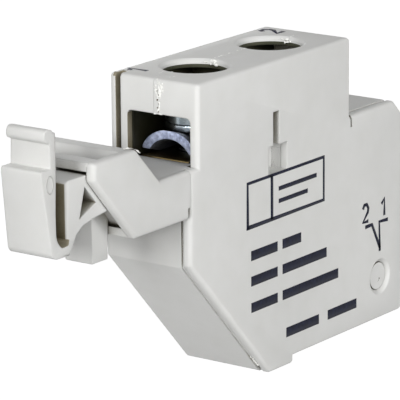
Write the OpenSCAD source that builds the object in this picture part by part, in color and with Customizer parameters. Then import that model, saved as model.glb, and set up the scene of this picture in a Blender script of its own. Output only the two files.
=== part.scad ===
// Clip-on auxiliary contact block: one normally closed bridging contact, two screw terminals.
// Drawn with X running from the front wire port to the rear, Y through the thickness from the
// printed side, and Z up from the seating face. The row's origin is on the seating face, at half
// the thickness, straight below the rear terminal screw.

/* [Housing] */
// Thickness of the whole block
body_t = 10; // [9:0.5:12]
// Length of the terminal head, front face to rear face
head_l = 24.7; // [24:0.1:26]
// Height of the head's top above the seating face
head_h = 29.2; // [28.4:0.2:32]
// Height of the head above the two wire ledges
head_rise = 7.75; // [7.65:0.05:8]
// Length of the lower housing behind the head's front face
tail_l = 34; // [34:0.5:38]
// Chamfer on the upper rear corner
tail_chamfer = 1.55; // [1:0.05:2.4]
// How far the tray's nose stands in front of the head
nose = 0.9; // [0.5:0.1:1.1]
// How far the printed panel's nose stands in front of the head
panel_nose = 1.3; // [1:0.1:1.6]
// Steepness of the slanted lower front, in degrees
slant_angle = 46.7; // [42:0.1:48]
// How far below the wire ledge the slant passes the head's front plane
slant_drop = 10.29; // [9.45:0.02:11.05]
// Depth of the foot below the seating face
foot_depth = 0.73; // [0.5:0.01:1]
// Length of the foot behind the slanted front
foot_l = 4.63; // [3.5:0.01:6.5]
// Radius of the moulded outer edges
edge_r = 0.45; // [0.3:0.05:0.5]
// Side and end walls
wall = 1; // [0.8:0.05:1.1]
// Tray floor, on the hidden side
floor_t = 1.2; // [1:0.1:1.4]
// Printed panel over the mechanism
panel_t = 0.85; // [0.7:0.05:0.9]

/* [Seam] */
// Width of the raised lip on the tray beside the panel
lip_w = 0.35; // [0.2:0.05:0.5]
// Height of that lip
lip_h = 0.3; // [0.1:0.05:0.4]
// Shadow gap between the panel and the lip
seam_gap = 0.15; // [0.1:0.05:0.25]
// Depth of the groove down the head's front face
groove_depth = 1.2; // [0.6:0.1:1.4]
// Width of that groove
groove_w = 0.58; // [0.4:0.02:0.7]
// Thickness of the thin plate behind the groove
groove_plate = 0.7; // [0.5:0.05:0.8]

/* [Arm] */
// Reach of the arm in front of the head
arm_l = 15.2; // [14.8:0.1:15.6]
// Height of the arm's top edge above the wire ledge
arm_rise = 3.55; // [3.45:0.05:3.75]
// Depth of the arm's underside below the wire ledge
arm_drop = 4.45; // [4.05:0.1:4.85]
// Length of the front wire ledge
front_ledge = 5.6; // [5.2:0.1:5.8]
// Height of the arm's upright front edge
arm_brow = 1.6; // [1.3:0.1:1.8]
// Thickness of the arm's side walls
arm_wall = 0.9; // [0.7:0.05:0.95]
// Run of the arm's slanted front under its upright edge
arm_undercut = 5.8; // [5.6:0.1:6.2]
// Depth of the recess between the arm's slanted rims
arm_recess = 0.9; // [0.6:0.05:1]
// Thickness of the cross bar over the latch
lintel_t = 0.8; // [0.6:0.05:0.85]
// Length of the cross bar along the arm
lintel_l = 1.5; // [1.2:0.1:1.8]
// Width of the panel's two relief slits, at the arm's root and behind the head
relief_w = 0.3; // [0.15:0.05:0.4]
// Height of the slits
relief_h = 1.1; // [0.8:0.1:1.6]
// Height of the strip at the arm's lower front edge
sill_t = 0.75; // [0.6:0.05:0.9]

/* [Latch] */
// Width of the latch
latch_w = 4.1; // [3.6:0.1:4.4]
// Gap between the arm's side wall and the latch
latch_gap = 0.1; // [0.08:0.01:0.15]
// How far the spring plate stands towards the printed side of its leg
latch_shift = 0.12; // [0:0.02:0.2]
// Widening of the plate on each side, from its bead down to its foot
latch_draft = 0.4; // [0.2:0.05:0.5]
// How much shorter the arm's hidden side wall is at the front
far_wall_short = 1; // [0.6:0.1:1.4]
// How far the spring plate's outer face stands in front of the arm
plate_out = 5.1; // [5:0.05:5.4]
// Thickness of the spring plate
plate_t = 0.85; // [0.7:0.05:0.95]
// Clear gap between the plate and the latch leg
plate_gap = 1.6; // [1.5:0.05:1.7]
// Height of the catching step above the arm's top edge
step_rise = 0.5; // [0.2:0.05:0.8]
// How far the hook stands out of the plate
hook_out = 1.3; // [1:0.05:1.5]
// Height of the finger bead's centre above the catching step
bead_rise = 2.95; // [2.1:0.05:3.1]
// Radius of the finger bead
bead_r = 0.65; // [0.55:0.05:0.8]
// Height of the flexing point above the arm's underside
flex_rise = 1.05; // [0.9:0.05:1.2]
// Radius of the flexing roll
flex_r = 0.55; // [0.5:0.01:0.6]
// Running clearance around the flexing roll
flex_clear = 0.04; // [0.02:0.01:0.08]
// Gap between the leg's head and the cross bar
leg_gap = 0.3; // [0.2:0.05:0.4]

/* [Guide post] */
// Length of the post along the arm
post_l = 2.3; // [1.8:0.1:2.6]
// Width of the post through the thickness
post_w = 3; // [2:0.1:3.4]
// Rear face of the post in front of the arm's heel
post_dx = 0.2; // [0.1:0.05:0.4]
// How far the post hangs below the arm
post_drop = 2.25; // [1:0.05:4]

/* [Terminals] */
// Front screw axis behind the head's front face
front_x = 6.4; // [6.2:0.05:6.6]
// Distance between the two screw axes
pitch = 12; // [11.9:0.05:12.1]
// Radius of the screwdriver holes
driver_r = 3.05; // [2.95:0.05:3.15]
// Chamfer around the screwdriver holes
driver_chamfer = 0.3; // [0.1:0.05:0.4]
// Roof over the terminal chambers
roof_t = 0.9; // [0.75:0.05:1.2]
// Radius of the screw's shank
shank_r = 1.7; // [1.5:0.05:1.75]
// Radius of the screw's head
head_r = 2.8; // [2.5:0.05:2.85]
// Height of the screw's head
screw_head_h = 1.85; // [1.7:0.05:2]
// Length of the screw's shank below its head
shank_l = 6.6; // [6.2:0.1:7.6]
// Width of the screwdriver slot
slot_w = 0.9; // [0.6:0.1:1.1]
// Depth of the screwdriver slot
slot_d = 1.1; // [0.8:0.1:1.3]
// Running clearance around the shank
shank_clear = 0.06; // [0.03:0.01:0.1]
// Outer radius of the spring lock washer
washer_r = 2.9; // [2.6:0.05:3]
// Thickness of the lock washer
washer_t = 0.7; // [0.5:0.05:0.8]
// Gap between the clamp saddle and the chamber's far wall
clamp_gap = 0.35; // [0.25:0.05:0.5]
// Length of the clamp saddle along the block
clamp_l = 6.6; // [6:0.1:6.8]
// Height of the clamp saddle
clamp_h = 2; // [1.9:0.05:2.1]
// Radius of the saddle's arched back
clamp_r = 3.3; // [3.2:0.05:3.6]
// Metal thickness of the saddle
clamp_t = 0.8; // [0.6:0.05:0.9]
// Side of the square nut
nut_w = 5.5; // [5:0.1:5.6]
// Thickness of the square nut
nut_t = 2; // [1.8:0.05:2.1]

/* [Wire ports] */
// Height of a port's opening above the wire ledge
port_h = 4.45; // [4.35:0.05:4.5]
// Distance of the port from the printed side
port_y = 0.92; // [0.85:0.01:0.95]
// Distance of the port from the hidden side
port_far = 2.02; // [1.94:0.02:2.1]
// Radius of the port's upper corners
port_r = 0.5; // [0.2:0.1:0.8]

/* [Contacts] */
// Thickness of the contact strips
strip_t = 1; // [0.9:0.05:1]
// Width of the strips at the terminals
plate_w = 5.4; // [5:0.1:5.5]
// Width of the strips inside the housing
strip_w = 4.4; // [4:0.1:4.6]
// Radius of the contact tips
tip_r = 1.3; // [1:0.05:1.4]
// Thickness of each contact tip
tip_t = 0.6; // [0.5:0.05:0.6]
// Distance between the two tips of the bridge
tip_span = 9; // [8.8:0.1:9.2]
// Thickness of the bridge
bridge_t = 0.8; // [0.7:0.05:0.9]
// Width of the bridge
bridge_w = 3; // [2.8:0.1:3]

/* [Plunger] */
// Plunger axis in front of the rear end
plunger_back = 11.5; // [11.4:0.1:11.8]
// Length of the plunger along the block
plunger_l = 2.8; // [2.6:0.1:3]
// Width of the plunger stem through the thickness
stem_w = 3.2; // [3.1:0.05:3.3]
// Thickness of the plunger's two cheeks
cheek_t = 0.8; // [0.7:0.05:0.9]
// How far the plunger stands out of the seating face
stem_out = 1.6; // [1.2:0.1:1.8]
// Running clearance of the plunger in its guide
guide_clear = 0.05; // [0.03:0.01:0.1]
// Height of the guide collar above the seating face
collar_z = 3; // [2.6:0.1:3.2]
// Height of the window for the bridge and its spring
window_h = 4; // [3.8:0.1:4.2]
// Room for the return spring between the plunger and the terminal shelf
spring_room = 4; // [3.8:0.1:4.2]

/* [Springs] */
// Mean radius of the contact spring
contact_spring_r = 1.05; // [0.9:0.05:1.1]
// Wire radius of the contact spring
contact_wire_r = 0.15; // [0.12:0.01:0.18]
// Turns of the contact spring
contact_turns = 5; // [4:1:6]
// Mean radius of the return spring
return_spring_r = 1.35; // [1.25:0.05:1.5]
// Wire radius of the return spring
return_wire_r = 0.18; // [0.15:0.01:0.2]
// Turns of the return spring
return_turns = 4; // [3:1:5]

/* [Windows in the printed side] */
// Front edge of the square window
window_x = 11; // [10.9:0.05:11.1]
// Length of the square window
window_l = 3.07; // [2.6:0.01:3.2]
// Lower edge of the square window below the wire ledge
window_drop = 3; // [2.75:0.05:3.15]
// Height of the square window
window_side = 2.7; // [2.2:0.05:2.8]
// Width of the slit above the window
slit_w = 1; // [0.6:0.05:1.2]
// Length of the slit above the window
slit_h = 3.2; // [2:0.1:3.6]
// Offset of the slit from the window's front edge
slit_dx = 0.75; // [0.4:0.05:1]
// Depth of the window and the slit
window_d = 1.9; // [1.4:0.1:1.9]
// Wall behind the window
window_back = 0.3; // [0.2:0.05:0.35]
// Peg that joins the shells, in front of the rear end
peg_back = 4.02; // [3.6:0.02:4.4]
// Height of the peg above the seating face
peg_z = 4.3; // [4:0.05:4.5]
// Radius of the peg
peg_r = 1.35; // [1:0.05:1.4]
// Clearance between the peg and the panel
peg_clear = 0.05; // [0.03:0.01:0.1]
// Countersink around the peg
peg_sink = 0.45; // [0.2:0.05:0.6]
// How far the peg's end lies below the panel's face
peg_low = 0.3; // [0.1:0.05:0.4]

/* [Hidden] */
$fn = 48;
// Far beyond the part, for cuts that run right through
far = 80;
// Extra length of a cut past the face it opens
eps = 0.01;
// Play between faces that meet across a joint
rest_gap = 0.02;
// Looser fit of loose inner pieces in their channels
fit = 0.1;
mid_y = body_t / 2;
rear_x = front_x + pitch;

// Rounding ball, grown so that its facets reach the edge radius
ball_sides = 16;
ball_r = edge_r / cos(180 / ball_sides);

// Lower housing
ledge_z = head_h - head_rise;
slant_z = ledge_z - slant_drop;
slant = tan(slant_angle);
inner_y = body_t - floor_t;
lip_y = panel_t + seam_gap;
tray_y = lip_y + lip_w;
tail_top_z = ledge_z - wall;
peg_x = tail_l - peg_back;
window_z = ledge_z - window_drop;

// Arm
arm_top_z = ledge_z + arm_rise;
arm_low_z = ledge_z - arm_drop;
arm_heel = arm_l - arm_undercut;
core_far = body_t - arm_wall;
slope_top_x = front_ledge + (arm_top_z - ledge_z) * 0.97;
ridge_z = arm_top_z - 0.1;
ridge_l = 1.1;
pit_z = arm_top_z - 1;
brow_z = arm_top_z - arm_brow;
rim_run = (arm_l - arm_heel) / (brow_z - arm_low_z);
recess_dx = arm_recess * sqrt(1 + rim_run * rim_run);
strut_z = arm_low_z + 3.1;
post_x = arm_heel + post_dx;
post_z = arm_low_z - post_drop;
post_top_z = strut_z + 1.1;

// Latch
latch_y = arm_wall + latch_gap;
hook_y = latch_y - latch_shift;
plate_x = arm_l + plate_out;
leg_x = plate_x - plate_t - plate_gap;
flex_x = leg_x + 0.35;
flex_z = arm_low_z + flex_rise;
step_z = arm_top_z + step_rise;
bead_z = step_z + bead_rise;
leg_top_z = arm_top_z - lintel_t - leg_gap;
hook_low_z = flex_z - flex_r + 0.1;

// Terminals
strip_top_z = ledge_z - 0.05;
strip_low_z = strip_top_z - strip_t;
chamber_top_z = head_h - roof_t;
port_end_y = body_t - port_far;
chamber_y = port_end_y + 0.27;
clamp_w = 2 * (chamber_y - mid_y - clamp_gap);
clamp_z = strip_top_z + rest_gap;
washer_z = clamp_z + clamp_h + rest_gap;
screw_z = washer_z + washer_t + rest_gap;
strip_head_l = 9;
strip_start = 1.6;
leg_in_x = strip_start + strip_head_l - 0.2;
nut_z = strip_low_z - nut_t;
shelf_z = nut_z - 1.2;
tail_strip_z = tail_top_z - strip_t - 0.05;

// Contacts and plunger
cap_t = 1;
plunger_top_z = shelf_z - spring_room;
window_top_z = plunger_top_z - cap_t;
window_floor_z = window_top_z - window_h;
bridge_z = window_floor_z + rest_gap;
moving_tip_z = bridge_z - tip_t;
fixed_tip_z = moving_tip_z - rest_gap - tip_t;
strip_foot_z = fixed_tip_z - strip_t;
plunger_x = tail_l - plunger_back;
tip_front_x = plunger_x - tip_span / 2;
tip_rear_x = plunger_x + tip_span / 2;
cavity_end = tail_l - wall;
strip_end = cavity_end - 0.3;
cheek_out = stem_w / 2 + cheek_t;

// Row frame: origin on the seating face below the rear screw
module placed() translate([-rear_x, -mid_y, 0]) children();

// An outline in X and Z, extruded through the thickness from y0 to y1
module side(y0, y1) translate([0, y1, 0]) rotate([90, 0, 0]) linear_extrude(y1 - y0) children();

// The same for a convex outline, with all its edges rounded like a moulding
module pillow(y0, y1) {
    minkowski() {
        side(y0 + edge_r, y1 - edge_r) offset(delta = -edge_r) children();
        sphere(r = ball_r, $fn = ball_sides);
    }
}

module box(x0, x1, y0, y1, z0, z1) translate([x0, y0, z0]) cube([x1 - x0, y1 - y0, z1 - z0]);

module between(y0, y1) intersection() {
    box(-far, far, y0, y1, -far, far);
    children();
}

function slant_x(z) = (slant_z - z) / slant;
foot_x = slant_x(0) + foot_l;
function rim_x(z) = -arm_heel - (z - arm_low_z) * rim_run;

// Side view of the terminal head, with its foot inside the lower housing
module head_outline(low_z) polygon([[0, low_z], [0, head_h], [head_l, head_h], [head_l, low_z]]);

// Side view of the lower housing without its foot; front is how far its nose stands out
module lower_outline(front) polygon([
    [-front, slant_z + front * slant], [-front, ledge_z], [tail_l - tail_chamfer, ledge_z],
    [tail_l, ledge_z - tail_chamfer], [tail_l, 0], [slant_x(0), 0]
]);

module foot_outline() polygon([
    [slant_x(2), 2], [slant_x(-foot_depth), -foot_depth], [foot_x, -foot_depth], [foot_x, 2]
]);

// Side wall of the arm, reaching to front: its raised part and the part under the wire ledge
module arm_outline(front) polygon([
    [-front_ledge + 1.2, arm_low_z], [-front_ledge + 1.2, ledge_z - 1.24],
    [-slope_top_x, arm_top_z], [-front, arm_top_z],
    [-front, brow_z - (arm_l - front) / rim_run], [-arm_heel, arm_low_z]
]);

module arm_root_outline(back) polygon([
    [back, arm_low_z], [back, ledge_z], [-front_ledge - 1, ledge_z], [-front_ledge - 1, arm_low_z]
]);

// The arm between its side walls: sill, recessed slant, cross bar, pit, ridge and ledge
module arm_core_outline() polygon([
    [0, arm_low_z], [-arm_heel, arm_low_z], [-arm_heel, arm_low_z + sill_t],
    [rim_x(arm_low_z + sill_t) + recess_dx, arm_low_z + sill_t],
    [rim_x(pit_z - 1.2) + recess_dx, pit_z - 1.2],
    [-arm_l + 0.5, arm_top_z - lintel_t], [-arm_l, arm_top_z - lintel_t], [-arm_l, arm_top_z],
    [-arm_l + lintel_l, arm_top_z], [-arm_l + lintel_l, pit_z],
    [-slope_top_x - ridge_l - 0.9, pit_z], [-slope_top_x - ridge_l, ridge_z],
    [-slope_top_x + 0.25, ridge_z], [-front_ledge, ledge_z], [0, ledge_z]
]);

// Leg and strut of the latch, with the triangular hole between them
module latch_leg_outline() difference() {
    polygon([
        [-leg_x, leg_top_z], [-arm_l + 0.3, leg_top_z], [-arm_l + 1.4, leg_top_z - 0.9],
        [rim_x(strut_z + 0.9) + recess_dx + 0.6, strut_z + 0.9],
        [rim_x(strut_z) + recess_dx + 0.6, strut_z], [rim_x(strut_z) + 0.1, strut_z],
        [-leg_x + 3.45, strut_z - 0.3], [-leg_x + 2.15, strut_z - 0.6], [-leg_x + 1.25, strut_z - 1.2],
        [-leg_x + 0.5, flex_z - 0.35], [-leg_x + 0.1, flex_z - 0.6], [-leg_x, flex_z - 0.6]
    ]);
    polygon([
        [-leg_x + 2.5, strut_z + 2.8], [-leg_x + 4.05, strut_z + 1.1], [-leg_x + 1.7, strut_z + 0.05]
    ]);
}

// Spring plate with its wedge-shaped hook and finger bead
module hook_outline() {
    polygon([
        [-plate_x + plate_t, bead_z + 0.15], [-plate_x, bead_z + 0.15], [-plate_x, step_z],
        [-plate_x - hook_out, step_z], [-plate_x - hook_out, step_z - 0.5],
        [-plate_x - 0.3, flex_z - 0.1], [-plate_x, hook_low_z], [-flex_x, hook_low_z],
        [-flex_x, flex_z + 0.1], [-plate_x + plate_t + 0.3, flex_z + 0.2],
        [-plate_x + plate_t, flex_z + 0.6]
    ]);
    translate([-plate_x - 0.05, bead_z]) circle(r = bead_r);
}

// Front view of the spring plate, which widens from the bead down to the foot
module plate_front() polygon([
    [hook_y, bead_z + bead_r + 1], [hook_y, bead_z + bead_r],
    [hook_y - latch_draft, hook_low_z], [hook_y - latch_draft, hook_low_z - 1],
    [hook_y + latch_w + latch_draft, hook_low_z - 1], [hook_y + latch_w + latch_draft, hook_low_z],
    [hook_y + latch_w, bead_z + bead_r], [hook_y + latch_w, bead_z + bead_r + 1]
]);

// Screwdriver holes with their chamfers
module driver_holes() {
    for (x = [front_x, rear_x]) {
        translate([x, mid_y, chamber_top_z - eps]) cylinder(r = driver_r, h = roof_t + 1);
        translate([x, mid_y, head_h - driver_chamfer])
            cylinder(r1 = driver_r, r2 = driver_r + driver_chamfer + eps, h = driver_chamfer + eps);
    }
}

// A wire port's opening through an end wall of the head, square at the ledge and rounded above
module port_opening(x0, x1) {
    port_w = port_end_y - port_y;
    translate([x0, port_y, ledge_z]) rotate([90, 0, 90]) linear_extrude(x1 - x0) {
        square([port_w, port_h - port_r]);
        translate([port_r, port_r]) offset(r = port_r) square([port_w - 2 * port_r, port_h - 2 * port_r]);
    }
}

// Terminal chambers and ports, cut from both shells
module chambers() {
    box(wall, leg_in_x + fit, port_y, chamber_y, strip_low_z, chamber_top_z);
    box(pitch + strip_start - fit, head_l - wall, port_y, chamber_y, strip_low_z, chamber_top_z);
    port_opening(-1, wall + eps);
    port_opening(head_l - wall - eps, head_l + 1);
    driver_holes();
}

// Channels for the nuts and strips, open to the printed side
module channels() {
    for (x = [front_x, rear_x]) {
        box(x - nut_w / 2 - fit, x + nut_w / 2 + fit, 0, mid_y + nut_w / 2 + fit, nut_z, strip_low_z + eps);
        translate([x, mid_y, shelf_z - 1]) cylinder(r = shank_r + 0.2, h = 4);
    }
    strip_y = mid_y + strip_w / 2 + fit;
    plate_y = mid_y + plate_w / 2 + fit;
    box(leg_in_x - strip_t - fit, leg_in_x + fit, 0, strip_y, shelf_z - 1, strip_top_z);
    box(pitch + strip_start - fit, rear_x + 4.6, 0, plate_y, strip_low_z, strip_top_z + fit);
    box(rear_x + 3.6 - fit, rear_x + 4.6 + fit, 0, plate_y, tail_strip_z, strip_top_z);
    box(rear_x + 3.6 - fit, strip_end + fit, 0, plate_y, tail_strip_z, tail_top_z);
    box(strip_end - strip_t - fit, strip_end + fit, 0, strip_y, shelf_z - 1, tail_top_z);
}

// Hollow of the tray under the terminal shelf
module tray_hollow() {
    side(0, inner_y) intersection() {
        offset(delta = -wall) lower_outline(nose);
        translate([0, 0]) square([far, shelf_z]);
    }
}

module tray_ribs() {
    // seats of the strips' feet
    box(tip_front_x - 4, tip_front_x + 1.2, mid_y - strip_w / 2, inner_y + eps, strip_foot_z - 1.1, strip_foot_z);
    box(tip_rear_x - 1.2, cavity_end + eps, mid_y - strip_w / 2, inner_y + eps, strip_foot_z - 1, strip_foot_z);
    // back of the square window and of the slit above it
    box(window_x, window_x + window_l, panel_t, window_d + window_back, shelf_z - eps, ledge_z);
    // guide collar of the plunger
    box(plunger_x - plunger_l / 2 - 1, plunger_x + plunger_l / 2 + 1,
        mid_y - stem_w / 2 - 1, inner_y + eps, wall - eps, collar_z);
    // peg that joins the shells
    translate([peg_x, inner_y + eps, peg_z]) rotate([90, 0, 0]) cylinder(r = peg_r, h = inner_y - peg_low + eps);
}

module window_cut(d) {
    box(window_x, window_x + window_l, -1, d, window_z, window_z + window_side);
    box(window_x + slit_dx, window_x + slit_dx + slit_w, -1, min(d, 1.2),
        window_z + window_side - eps, window_z + window_side + slit_h);
}

module base_shell() placed() color("gainsboro") difference() {
    union() {
        difference() {
            union() {
                between(mid_y, body_t) pillow(0, body_t) head_outline(ledge_z - 3);
                between(tray_y, body_t) pillow(0, body_t) lower_outline(nose);
                between(tray_y, body_t) pillow(0, body_t) foot_outline();
                side(lip_y, tray_y) offset(delta = lip_h) offset(delta = -edge_r) lower_outline(nose);
                side(panel_t, lip_y) offset(delta = -edge_r) lower_outline(nose);
                between(core_far, body_t) pillow(0, body_t) arm_outline(arm_l - far_wall_short);
                between(core_far, body_t) pillow(0, body_t) arm_root_outline(2);
            }
            chambers();
            channels();
            tray_hollow();
            translate([-1, body_t - groove_plate - groove_w, ledge_z - eps])
                cube([1 + groove_depth, groove_w, far]);
        }
        tray_ribs();
        difference() {
            side(arm_wall, core_far + eps) arm_core_outline();
            box(-front_ledge - 2.2, -nose - wall, 1.9, body_t - 1.9, arm_low_z - 1, ledge_z - 1.2);
        }
        side(latch_y, latch_y + latch_w) latch_leg_outline();
        box(-post_x - post_l, -post_x, mid_y - 2, mid_y - 2 + post_w, post_z, post_top_z);
    }
    window_cut(window_d);
    box(plunger_x - plunger_l / 2 - guide_clear, plunger_x + plunger_l / 2 + guide_clear,
        mid_y - stem_w / 2 - guide_clear, mid_y + stem_w / 2 + guide_clear, -1, collar_z + 1);
    translate([-flex_x, 0, flex_z]) rotate([-90, 0, 0]) cylinder(r = flex_r + flex_clear, h = body_t);
}
module printed_cover() placed() color("gainsboro") difference() {
    union() {
        between(0, panel_t) pillow(0, body_t) lower_outline(panel_nose);
        between(0, panel_t) pillow(0, body_t) foot_outline();
        between(0, panel_t) pillow(0, body_t) head_outline(ledge_z - 3);
        intersection() {
            box(-far, far, 0, mid_y, ledge_z, far);
            pillow(0, body_t) head_outline(ledge_z - 3);
        }
        between(0, arm_wall) pillow(0, body_t) arm_outline(arm_l);
        between(0, arm_wall) pillow(0, body_t) arm_root_outline(0.4 - panel_nose);
    }
    chambers();
    window_cut(1.2);
    box(-panel_nose - relief_w, -panel_nose, -1, arm_wall + eps, arm_low_z - 1, arm_low_z + relief_h);
    box(head_l, head_l + relief_w, -1, panel_t + eps, ledge_z - relief_h, ledge_z + eps);
    translate([peg_x, -1, peg_z]) rotate([-90, 0, 0]) cylinder(r = peg_r + peg_clear, h = 3);
    translate([peg_x, -eps, peg_z]) rotate([-90, 0, 0])
        cylinder(r1 = peg_r + peg_sink, r2 = peg_r + peg_clear, h = peg_sink);
}

// The outer plate of the latch, which bends about the roll at its foot
module snap_hook() placed() color("gainsboro") {
    intersection() {
        side(0, body_t) hook_outline();
        translate([-far, 0, 0]) rotate([90, 0, 90]) linear_extrude(far) plate_front();
    }
    translate([-flex_x, latch_y, flex_z]) rotate([-90, 0, 0]) cylinder(r = flex_r, h = latch_w);
}

// One terminal screw with a cheese head and a straight slot
module terminal_screw(x) placed() color("lightsteelblue") translate([x, mid_y, 0]) difference() {
    union() {
        translate([0, 0, screw_z]) cylinder(r = head_r, h = screw_head_h - 0.3);
        translate([0, 0, screw_z + screw_head_h - 0.3]) cylinder(r1 = head_r, r2 = head_r - 0.3, h = 0.3);
        translate([0, 0, screw_z - shank_l + 0.5]) cylinder(r = shank_r, h = shank_l);
        translate([0, 0, screw_z - shank_l]) cylinder(r1 = shank_r - 0.5, r2 = shank_r, h = 0.5);
    }
    translate([-head_r - 1, -slot_w / 2, screw_z + screw_head_h - slot_d])
        cube([2 * head_r + 2, slot_w, slot_d + 1]);
}

// A split spring washer
module lock_washer(x) placed() color("silver") translate([x, mid_y, washer_z]) difference() {
    cylinder(r = washer_r, h = washer_t);
    translate([0, 0, -1]) cylinder(r = shank_r + shank_clear, h = washer_t + 2);
    rotate([0, 0, 200]) translate([0, -0.25, -1]) cube([washer_r + 1, 0.5, washer_t + 2]);
}

// An arched saddle that presses the wire on the strip
module wire_clamp(x) placed() color("silver") difference() {
    translate([x - clamp_l / 2, mid_y, clamp_z + clamp_h - clamp_r]) intersection() {
        rotate([0, 90, 0]) difference() {
            cylinder(r = clamp_r, h = clamp_l);
            translate([0, 0, -1]) cylinder(r = clamp_r - clamp_t, h = clamp_l + 2);
        }
        translate([0, -clamp_w / 2, clamp_r - clamp_h]) cube([clamp_l, clamp_w, clamp_h - 0.05]);
    }
    translate([x, mid_y, 0]) cylinder(r = shank_r + shank_clear, h = far);
}

module square_nut(x) placed() color("silver") difference() {
    box(x - nut_w / 2, x + nut_w / 2, mid_y - nut_w / 2, mid_y + nut_w / 2, nut_z, strip_low_z);
    translate([x, mid_y, 0]) cylinder(r = shank_r + shank_clear, h = far);
}

// Bent brass strip from the front terminal to the front fixed tip
module contact_strip_front() placed() color("goldenrod") difference() {
    union() {
        box(strip_start, leg_in_x, mid_y - plate_w / 2, mid_y + plate_w / 2, strip_low_z, strip_top_z);
        box(leg_in_x - strip_t, leg_in_x, mid_y - strip_w / 2, mid_y + strip_w / 2, strip_foot_z, strip_top_z);
        box(leg_in_x - strip_t, tip_front_x + 1.2, mid_y - strip_w / 2, mid_y + strip_w / 2,
            strip_foot_z, strip_foot_z + strip_t);
    }
    translate([front_x, mid_y, 0]) cylinder(r = shank_r + 0.2, h = far);
}

// Bent brass strip from the rear terminal to the rear fixed tip
module contact_strip_rear() placed() color("goldenrod") difference() {
    step_x = rear_x + 4.6;
    union() {
        box(pitch + strip_start, step_x, mid_y - plate_w / 2, mid_y + plate_w / 2, strip_low_z, strip_top_z);
        box(step_x - strip_t, step_x, mid_y - strip_w / 2, mid_y + strip_w / 2, tail_strip_z, strip_top_z);
        box(step_x - strip_t, strip_end, mid_y - strip_w / 2, mid_y + strip_w / 2,
            tail_strip_z, tail_strip_z + strip_t);
        box(strip_end - strip_t, strip_end, mid_y - strip_w / 2, mid_y + strip_w / 2,
            strip_foot_z, tail_strip_z + strip_t);
        box(tip_rear_x - 1.2, strip_end, mid_y - strip_w / 2, mid_y + strip_w / 2,
            strip_foot_z, strip_foot_z + strip_t);
    }
    translate([rear_x, mid_y, 0]) cylinder(r = shank_r + 0.2, h = far);
}

module tip(x, z) placed() color("white") translate([x, mid_y, z]) cylinder(r = tip_r, h = tip_t);

// Moving contact bar that joins the two fixed tips
module contact_bridge() placed() color("goldenrod")
    box(tip_front_x - 1.4, tip_rear_x + 1.4, mid_y - bridge_w / 2, mid_y + bridge_w / 2,
        bridge_z, bridge_z + bridge_t);

// Plunger: stem through the seating face, two cheeks and a cap around the bridge's window
module plunger() placed() color("ivory") {
    x0 = plunger_x - plunger_l / 2;
    x1 = plunger_x + plunger_l / 2;
    shoulder_z = collar_z + rest_gap;
    difference() {
        union() {
            box(x0, x1, mid_y - stem_w / 2, mid_y + stem_w / 2, -stem_out + 0.4, window_floor_z);
            box(x0 + 0.4, x1 - 0.4, mid_y - stem_w / 2 + 0.4, mid_y + stem_w / 2 - 0.4, -stem_out, 0);
            box(x0, x1, mid_y - cheek_out, mid_y + cheek_out, shoulder_z, plunger_top_z);
            translate([plunger_x, mid_y, plunger_top_z - eps])
                cylinder(r = return_spring_r - return_wire_r - 0.15, h = 1 + eps);
        }
        box(x0 - 1, x1 + 1, mid_y - stem_w / 2, mid_y + stem_w / 2, window_floor_z, window_top_z);
    }
}

// A coil of round wire standing on z0 and ending under z1
module coil(r, wire, turns, z0, z1) {
    sides = 8;
    steps = 20;
    rings = turns * steps;
    rise = (z1 - z0 - 2 * wire) / rings;
    points = [
        for (i = [0 : rings]) for (j = [0 : sides - 1])
            let (a = 360 * i / steps, b = 360 * j / sides, rr = r + wire * cos(b))
            [rr * cos(a), rr * sin(a), z0 + wire + i * rise + wire * sin(b)]
    ];
    walls = [
        for (i = [0 : rings - 1]) for (j = [0 : sides - 1])
            let (k = (j + 1) % sides)
            [i * sides + j, i * sides + k, (i + 1) * sides + k, (i + 1) * sides + j]
    ];
    first = [for (j = [sides - 1 : -1 : 0]) j];
    last = [for (j = [0 : sides - 1]) rings * sides + j];
    polyhedron(points, concat(walls, [first, last]), convexity = 10);
}

module contact_spring() placed() color("silver") translate([plunger_x, mid_y, 0])
    coil(contact_spring_r, contact_wire_r, contact_turns,
        bridge_z + bridge_t + rest_gap, window_top_z - rest_gap);

module return_spring() placed() color("silver") translate([plunger_x, mid_y, 0])
    coil(return_spring_r, return_wire_r, return_turns, plunger_top_z + rest_gap, shelf_z - rest_gap);

base_shell();
printed_cover();
snap_hook();
terminal_screw(front_x);  // terminal_screw_front
terminal_screw(rear_x);  // terminal_screw_rear
lock_washer(front_x);  // lock_washer_front
lock_washer(rear_x);  // lock_washer_rear
wire_clamp(front_x);  // wire_clamp_front
wire_clamp(rear_x);  // wire_clamp_rear
square_nut(front_x);  // square_nut_front
square_nut(rear_x);  // square_nut_rear
contact_strip_front();
contact_strip_rear();
tip(tip_front_x, fixed_tip_z);  // fixed_tip_front
tip(tip_rear_x, fixed_tip_z);  // fixed_tip_rear
contact_bridge();
tip(tip_front_x, moving_tip_z);  // bridge_tip_front
tip(tip_rear_x, moving_tip_z);  // bridge_tip_rear
plunger();
contact_spring();
return_spring();
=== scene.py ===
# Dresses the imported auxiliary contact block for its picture: moulded light grey shells with a
# printed side, a sprung latch, zinc-plated terminals, and the contact parts inside.
import bmesh
import bpy
import math
import random
from mathutils import Matrix, Vector


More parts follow.
